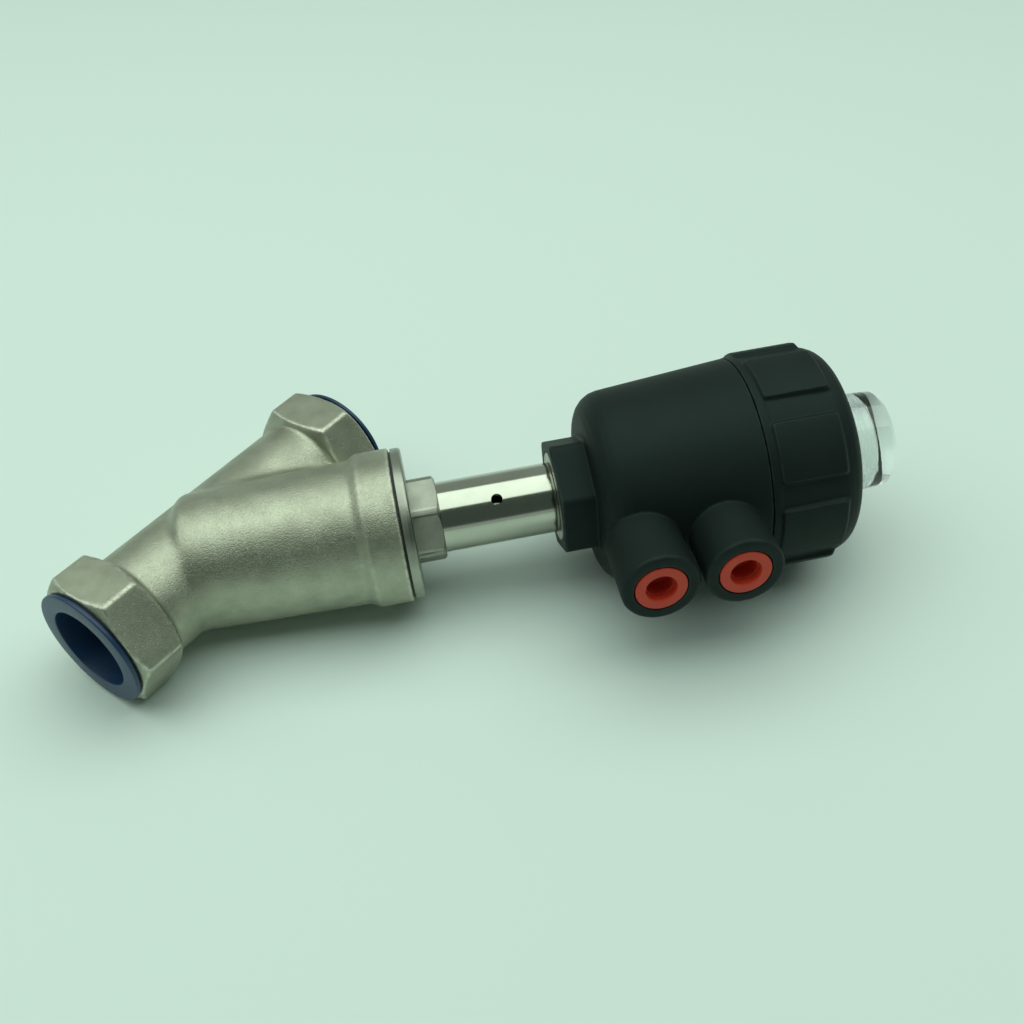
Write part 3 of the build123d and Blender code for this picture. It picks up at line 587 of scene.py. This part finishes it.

# %% [markdown]
# The actuator is glass-filled nylon.  Its mould is spark eroded, so the black skin
# is satin with a very fine even grain.  Its outer edges are painted a little lighter:
# partly the grey that hands and crates rub into them, partly a painted highlight where
# light catches the pad edges.  The transit plugs are softer polyethylene with a waxy gloss.

# %% Plastics and rubber
# The lighter edge colour of the black nylon is partly grey rub and partly a painted highlight on the pad edges.
black_nylon = finish(
    "black_nylon", actuator_frame, ((0.0070, 0.0105, 0.0095), (0.0100, 0.0140, 0.0130)), drift=(0.05, 2.0),
    rough=(0.52, 0.64), grain=(4.0, 0.2, 0.022), rub_and_highlight=(0.2, 0.9, 0.25, (0.030, 0.042, 0.039)),
    Specular_IOR_Level=0.2, Specular_Tint=(0.65, 1.0, 0.92, 1),
)
blue_wax = finish(
    "blue_polyethylene", inlet_frame, ((0.010, 0.040, 0.105), (0.008, 0.033, 0.088)), drift=(0.12, 2.0),
    rough=(0.34, 0.44), grain=(2.5, 0.1, 0.012),
)
orange_wax = finish(
    "orange_polyethylene", actuator_frame, ((0.62, 0.052, 0.021), (0.54, 0.043, 0.018)), drift=(0.2, 2.0),
    rough=(0.42, 0.52), grain=(3.0, 0.1, 0.010), Specular_IOR_Level=0.35,
)
white_ptfe = finish(
    "white_ptfe", stem_frame, ((0.80, 0.79, 0.75), (0.76, 0.75, 0.71)), rough=(0.35, 0.45),
    grain=(2.0, 0.1, 0.01),
)
black_rubber = finish(
    "black_rubber", stem_frame, ((0.030, 0.032, 0.030), (0.040, 0.042, 0.040)), rough=(0.55, 0.65),
    grain=(3.0, 0.1, 0.012),
)
indicator_paint = finish(
    "indicator_orange", actuator_frame, ((0.75, 0.17, 0.03), (0.70, 0.15, 0.03)), rough=(0.25, 0.35),
    grain=(2.0, 0.1, 0.008),
)
clear_cover = finish(
    "clear_acrylic", actuator_frame, ((0.96, 0.98, 0.97), (0.93, 0.96, 0.95)), rough=(0.015, 0.05),
    grain=(0.8, 0.0, 0.01), Transmission_Weight=1.0, IOR=1.49,
)
bored_cover = finish(
    "bored_acrylic", actuator_frame, ((0.96, 0.98, 0.97), (0.92, 0.95, 0.94)), rough=(0.15, 0.45),
    rings=(0.5, 0.03, 0.06), Transmission_Weight=1.0, IOR=1.49,
)
slot_finish = {
    "cast_stainless": cast_steel, "machined_stainless": turned_steel, "polished_stainless": polished_steel,
    "spring_steel": wire_steel, "ptfe": white_ptfe, "elastomer": black_rubber, "black_polymer": black_nylon,
    "clear_polymer": clear_cover, "indicator_polymer": indicator_paint, "aluminium": light_metal,
    "blue_cap": blue_wax, "orange_cap": orange_wax,
}

# %% Every solid of the frame gets the finish of its slot
for entry in frame["record"]["subparts"]:
    solid = nodes[entry["node"]]
    solid.data.materials.clear()
    solid.data.materials.append(slot_finish[entry["material_slot"]])

# %% [markdown]
# The body is one investment casting.  Its solid has the right form but knife-sharp
# edges, so a copy is merged, remeshed to small even faces and smoothed.  The machined
# end faces get few passes and stay crisp, the cast skin gets more, and the blends
# where the run enters the barrel get the most, as in the wax pattern.

# %% Cast body
MOST_TRIANGLES = 190000
CAST_TOP, CAST_IN, CAST_OUT = 65.5, -39.6, 67.6
BLEND_TOP, BLEND_IN, BLEND_OUT = 50, -22, 50


def solid_copy(node, name, matrix):
    """A merged copy of a CAD node's mesh, in millimetres round the matrix's axis."""
    bm = bmesh.new()
    bm.from_mesh(nodes[node].data)
    bmesh.ops.transform(bm, matrix=matrix.inverted(), verts=bm.verts[:])
    bmesh.ops.remove_doubles(bm, verts=bm.verts[:], dist=1e-3)
    return loose(bm, name)


casting = solid_copy("valve_body", "cast_body", stem_frame)
flow_local = (stem_frame.to_3x3().inverted() @ flow_axis).normalized()


def cast_skin(place):
    """True away from the machined faces of the collar and of both ports."""
    return place.z < CAST_TOP and CAST_IN < place.dot(flow_local) < CAST_OUT


def branch_blends(place):
    """True where the run and the barrel grow into each other."""
    return place.z < BLEND_TOP and BLEND_IN < place.dot(flow_local) < BLEND_OUT


softened(casting, 0.5, (1,), (4, cast_skin), (24, branch_blends))
thinned(casting, MOST_TRIANGLES)
set_down(casting, stem_frame, cast_steel, "valve", ["valve_body"], sharp=80)

# %% [markdown]
# The bonnet screws into the collar.  It is a turned flange with a spanner hexagon
# milled from round bar, so its corners keep the bar's curve and its end face is
# turned to a cone.  A shape that cuts stands a little past the face that it opens.

# %% Bonnet
OVER = 1
BONNET_FOOT, FLANGE_FOOT, FLANGE_TOP, HEX_TOP = 54.4, 68.1, 71.4, 80.5
SCREW_R, FLANGE_R, BAR_R, CONE_R = 19.3, 24.9, 14.35, 12.7
MOUTH_R, BUSH_R, STEM_WAY_R, NECK_SOCKET_R = 14.5, 7.45, 5.4, 11.67
BUSH_FOOT, BUSH_TOP, NECK_FOOT = 54.5, 64.5, 66
ACROSS_FLATS, HEX_TURN, CONE_SLOPE = 26, -50, math.radians(30)

bonnet_turned = loose(spun([
    (0, BONNET_FOOT), (SCREW_R, BONNET_FOOT, 0.8), (SCREW_R, FLANGE_FOOT),
    (FLANGE_R, FLANGE_FOOT, 0.12), (FLANGE_R, FLANGE_TOP, 1.1), (0, FLANGE_TOP),
], closed=False), "bonnet_turned")
spanner = loose(prism(ACROSS_FLATS, FLANGE_TOP - OVER, HEX_TOP, turn=HEX_TURN), "spanner")
cone_foot = HEX_TOP - (BAR_R - CONE_R) * math.tan(CONE_SLOPE)
bar = spun([
    (0, FLANGE_TOP - 2 * OVER), (BAR_R, FLANGE_TOP - 2 * OVER), (BAR_R, cone_foot),
    (CONE_R, HEX_TOP), (0, HEX_TOP),
], closed=False)
combine(spanner, bar, "INTERSECT")
bm = bmesh.new()
bm.from_mesh(spanner.data)
bpy.data.objects.remove(spanner)
combine(bonnet_turned, bm, "UNION")
stem_way = spun([
    (0, BONNET_FOOT - OVER), (MOUTH_R, BONNET_FOOT - OVER), (MOUTH_R, BONNET_FOOT),
    (BUSH_R, BUSH_FOOT), (BUSH_R, BUSH_TOP), (STEM_WAY_R, BUSH_TOP), (STEM_WAY_R, NECK_FOOT),
    (NECK_SOCKET_R, NECK_FOOT), (NECK_SOCKET_R, HEX_TOP + OVER), (0, HEX_TOP + OVER),
], closed=False)
combine(bonnet_turned, stem_way, "DIFFERENCE")
bevelled(bonnet_turned, 0.25)
set_down(
    bonnet_turned, stem_frame, turned_steel, "valve", ["bonnet"], sharp=35,
)

# %% [markdown]
# The neck is a polished tube.  A small weep hole in its side shows a leaking packing.

# %% Neck
NECK_R, SPIGOT_R, PACKING_R, UPPER_BORE_R = 11.57, 10.6, 8.5, 6.8
NECK_TOP, SPIGOT_TOP = 118, 127.9
PACKING_FOOT, PACKING_TOP, UPPER_BORE_FOOT = 70, 101, 102.7
WEEP_R, WEEP_STATION, WEEP_TURN = 1.85, 98.9, -53
DRILL_LENGTH, DRILL_MIDDLE_R = 8, 10.5

neck = loose(spun([
    (NECK_R, NECK_FOOT), (NECK_R, NECK_TOP, 0.3), (SPIGOT_R, NECK_TOP), (SPIGOT_R, SPIGOT_TOP, 0.4),
    (UPPER_BORE_R, SPIGOT_TOP), (UPPER_BORE_R, UPPER_BORE_FOOT), (PACKING_R, PACKING_TOP),
    (PACKING_R, PACKING_FOOT), (STEM_WAY_R, PACKING_FOOT), (STEM_WAY_R, NECK_FOOT),
], steps=160), "polished_neck")
drill = bmesh.new()
bmesh.ops.create_cone(
    drill, cap_ends=True, segments=48, radius1=WEEP_R, radius2=WEEP_R, depth=DRILL_LENGTH,
)
weep = (
    Matrix.Translation((0, 0, WEEP_STATION)) @ Matrix.Rotation(math.radians(WEEP_TURN), 4, "Z")
    @ Matrix.Rotation(math.radians(90), 4, "Y") @ Matrix.Translation((0, 0, DRILL_MIDDLE_R))
)
bmesh.ops.transform(drill, matrix=weep, verts=drill.verts[:])
combine(neck, drill, "DIFFERENCE")
set_down(neck, stem_frame, polished_steel, "valve", ["neck_tube"], sharp=30)

# %% [markdown]
# The housing is one moulding: a slightly flared cylinder, a hexagonal foot and two
# bosses for the air fittings.  The shapes are joined, cored and softened together, so
# the roots of the bosses get the small fillet that a mould has.

# %% Actuator housing
ACTUATOR_FOOT, HOUSING_FOOT, SEAM, THREAD_TOP = 118.1, 129.5, 180.9, 192.9
HOUSING_FOOT_R, HOUSING_TOP_R, THREAD_R, CYLINDER_R = 31.3, 35.1, 32, 28
FOOT_FLATS, RING_R, RING_TOP, SPIGOT_WAY_R = 35, 14.7, 125.8, 13.5
CHAMBER_FOOT, CHAMBER_CHAMFER, CORE_TOP = 134.5, 2, 194
AIR_STATIONS = (140.45, 166.45)
BOSS_REACH, BOSS_DEPTH, BOSS_ROOT_R, BOSS_FACE_R = 51.6, 22.6, 11.9, 12.3
# from the cylinder outwards: passage, thread, lead-in and counterbore
AIR_HOLE = [
    (0, -24.6), (2.5, -24.6), (2.5, -16.9), (5.72, -16.9), (5.72, -8.4), (6.65, -8.4), (6.65, -2),
    (8.4, -2), (8.4, OVER), (0, OVER),
]


def air_port(station):
    """Frame in millimetres on the face of an air boss, in the actuator's frame."""
    return Matrix.Translation((BOSS_REACH, 0, station)) @ Matrix.Rotation(math.radians(90), 4, "Y")


housing = loose(spun([
    (0, HOUSING_FOOT), (HOUSING_FOOT_R, HOUSING_FOOT, 8.5), (HOUSING_TOP_R, SEAM, 0.2),
    (THREAD_R, SEAM), (THREAD_R, THREAD_TOP), (0, THREAD_TOP),
], closed=False), "moulded_housing")
foot = prism(FOOT_FLATS, ACTUATOR_FOOT, HOUSING_FOOT + 2 * OVER, turn=30, rounding=1.8)
combine(housing, foot, "UNION")
for station in AIR_STATIONS:
    boss = spun([
        (0, -BOSS_DEPTH), (BOSS_ROOT_R, -BOSS_DEPTH), (BOSS_FACE_R, 0, 1.3), (0, 0),
    ], steps=96, closed=False)
    bmesh.ops.transform(boss, matrix=air_port(station), verts=boss.verts[:])
    combine(housing, boss, "UNION")
    hole = spun(AIR_HOLE, steps=96, closed=False)
    bmesh.ops.transform(hole, matrix=air_port(station), verts=hole.verts[:])
    combine(housing, hole, "DIFFERENCE")
core = spun([
    (0, ACTUATOR_FOOT - OVER), (RING_R, ACTUATOR_FOOT - OVER), (RING_R, RING_TOP),
    (SPIGOT_WAY_R, RING_TOP), (SPIGOT_WAY_R, CHAMBER_FOOT),
    (CYLINDER_R - CHAMBER_CHAMFER, CHAMBER_FOOT), (CYLINDER_R, CHAMBER_FOOT + CHAMBER_CHAMFER),
    (CYLINDER_R, CORE_TOP), (0, CORE_TOP),
], closed=False)
combine(housing, core, "DIFFERENCE")
softened(housing, 0.34, (4,))
thinned(housing, MOST_TRIANGLES)
set_down(
    housing, actuator_frame, black_nylon, "actuator", ["actuator_housing"],
    sharp=80,
)

# %% [markdown]
# The cap screws onto the housing and holds the closing springs down.  Eight raised
# pads with round corners and sloping walls give the hand a grip.

# %% Actuator cap
PAD_COUNT, PAD_TURN, PAD_HALF_ANGLE = 8, -40, math.radians(15)
PAD_FOOT, PAD_LENGTH, PAD_R, PAD_ROOT_R, PAD_SPREAD, PAD_CORNER = 184.1, 20.4, 36.4, 33, 2.2, 1.3
CAP_FOOT = SEAM + 0.25
# up the outside, over the end into the dome's recess, and down the inside
CAP_OUTLINE = [
    (35.2, CAP_FOOT, 0.15), (35.4, PAD_FOOT - 0.8), (35.1, PAD_FOOT), (34.7, 205.2), (34.2, 207),
    (33.3, 208.9), (32.2, 210.2), (31, 211.1), (28.6, 212.2), (25.5, 213.4), (17.2, 215.5, 0.6),
    (17.2, 213.2), (13.7, 213.2), (13.7, 208.6), (24.8, 208.6), (28, 205.4), (28, 193.1),
    (32.1, 193.1), (32.1, CAP_FOOT),
]


def grip_pad():
    """bmesh of one pad, with round corners and walls that slope out to its root."""
    pad = bmesh.new()
    outline = [
        (PAD_ROOT_R, PAD_FOOT), (PAD_R, PAD_FOOT), (PAD_R, PAD_FOOT + PAD_LENGTH),
        (PAD_ROOT_R, PAD_FOOT + PAD_LENGTH),
    ]
    face = pad.faces.new([pad.verts.new((r, 0, z)) for r, z in outline])
    start = Matrix.Rotation(-PAD_HALF_ANGLE, 3, "Z")
    bmesh.ops.rotate(pad, verts=pad.verts[:], cent=(0, 0, 0), matrix=start)
    bmesh.ops.spin(
        pad, geom=pad.verts[:] + pad.edges[:] + [face], cent=(0, 0, 0), axis=(0, 0, 1),
        angle=2 * PAD_HALF_ANGLE, steps=16,
    )
    bmesh.ops.recalc_face_normals(pad, faces=pad.faces[:])
    corners = [
        e for e in pad.edges
        if e.verts[0].co.z == e.verts[1].co.z and e.calc_face_angle(0) > 1
        and abs(e.verts[0].co.xy.length - e.verts[1].co.xy.length) > 1
    ]
    bmesh.ops.bevel(
        pad, geom=corners, offset=PAD_CORNER, offset_type="OFFSET", affect="EDGES", segments=5,
        profile=0.5, material=-1,
    )
    middle = PAD_FOOT + PAD_LENGTH / 2
    for vert in pad.verts:
        radius = vert.co.xy.length
        spread = PAD_SPREAD * (PAD_R - radius) / (PAD_R - PAD_ROOT_R)
        angle = math.atan2(vert.co.y, vert.co.x) * (1 + spread / PAD_R / PAD_HALF_ANGLE)
        height = middle + (vert.co.z - middle) * (1 + 2 * spread / PAD_LENGTH)
        vert.co = (radius * math.cos(angle), radius * math.sin(angle), height)
    return pad


cap = loose(spun(CAP_OUTLINE, steps=192), "moulded_cap")
for number in range(PAD_COUNT):
    pad = grip_pad()
    turn = Matrix.Rotation(math.radians(number * 360 / PAD_COUNT + PAD_TURN), 4, "Z")
    bmesh.ops.transform(pad, matrix=turn, verts=pad.verts[:])
    combine(cap, pad, "UNION")
softened(cap, 0.30, (2,))
thinned(cap, MOST_TRIANGLES)
set_down(cap, actuator_frame, black_nylon, "actuator", ["actuator_cap"], sharp=80)

# %% [markdown]
# The dome is clear acrylic with a thick, chamfered end.  Wall and hollow are both
# modelled, so light bends in it as in the real one.  The hollow is bored and left
# unpolished, so its wall keeps the frosty rings of the tool.

# %% Indicator dome
HOLLOW_R, HOLLOW_END = 11, 224.6
dome = loose(spun([
    (13.6, 208.6), (13.6, 213.2), (16.9, 213.2, 0.2), (15.9, 228.3), (14, 230.2, 0.4), (0, 230.2),
    (0, HOLLOW_END), (HOLLOW_R, HOLLOW_END, 0.9), (HOLLOW_R, 208.6),
]), "clear_dome")
bored = [
    max(math.hypot(*dome.data.vertices[v].co.xy) for v in face.vertices) < HOLLOW_R + 0.1
    and face.center.z < HOLLOW_END - 0.1
    for face in dome.data.polygons
]
set_down(
    dome, actuator_frame, clear_cover, "actuator", ["indicator_dome"], sharp=35,
)
dome.data.materials.append(bored_cover)
dome.data.polygons.foreach_set("material_index", [int(inside) for inside in bored])

# %% [markdown]
# Transit plugs keep dirt out of the ports.  Each is a thin cup with a flange.

# %% Transit plugs
PORT_CUP = [
    (0, -8.2), (16.4, -8.2, 0.8), (16.4, 0.1), (18.9, 0.1), (18.9, 0.8), (20.2, 0.8, 0.3),
    (20.2, 2.1, 0.5), (14.15, 2.1, 0.3), (14.15, -7), (0, -7),
]
AIR_CUP = [
    (0, -8.1), (6.35, -8.1, 0.4), (6.35, -1.9), (8.1, -1.9), (8.1, 0, 0.4), (4.85, 0, 0.4),
    (4.85, -2.4), (4.2, -2.4), (4.2, -6.9), (0, -6.9),
]
for name, node, matrix, body in (
    ("port_plug_in", "inlet_plug", inlet_frame, "inlet_cap"),
    ("port_plug_out", "outlet_plug", outlet_frame, "outlet_cap"),
):
    plug = loose(spun(PORT_CUP, closed=False), name)
    set_down(plug, matrix, blue_wax, body, [node], sharp=35)
for name, node, station, body in (
    ("air_plug_near", "air_plug_low", AIR_STATIONS[0], "low_air_cap"),
    ("air_plug_far", "air_plug_high", AIR_STATIONS[1], "high_air_cap"),
):
    plug = loose(spun(AIR_CUP, steps=96, closed=False), name)
    place = actuator_frame @ air_port(station)
    set_down(plug, place, orange_wax, body, [node], sharp=35)

# %% [markdown]
# The closing springs are squeezed as the valve opens.  A copy of each stands for its
# solid, with a mesh of its own.

# %% Springs
for name, node in (("closing_spring_outer", "outer_spring"), ("closing_spring_inner", "inner_spring")):
    wire = solid_copy(node, name, stem_frame)
    set_down(wire, stem_frame, wire_steel, "actuator", [node], sharp=50)
    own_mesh(wire)

# %% [markdown]
# The valve lies on a plain pale bench.

# %% Bench
bm = bmesh.new()
bmesh.ops.create_grid(bm, x_segments=2, y_segments=2, size=6)
bench = loose(bm, "bench")
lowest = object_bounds()[0][2]
bench.location = (0, 0, lowest - 0.0002)
bench_top = bpy.data.materials.new("bench_top")
bench_top.use_nodes = True
shader = bench_top.node_tree.nodes["Principled BSDF"]
shader.inputs["Base Color"].default_value = (0.73, 0.83, 0.775, 1)
shader.inputs["Roughness"].default_value = 0.85
bench.data.materials.append(bench_top)

# %% Update the scene
bpy.context.view_layer.update()
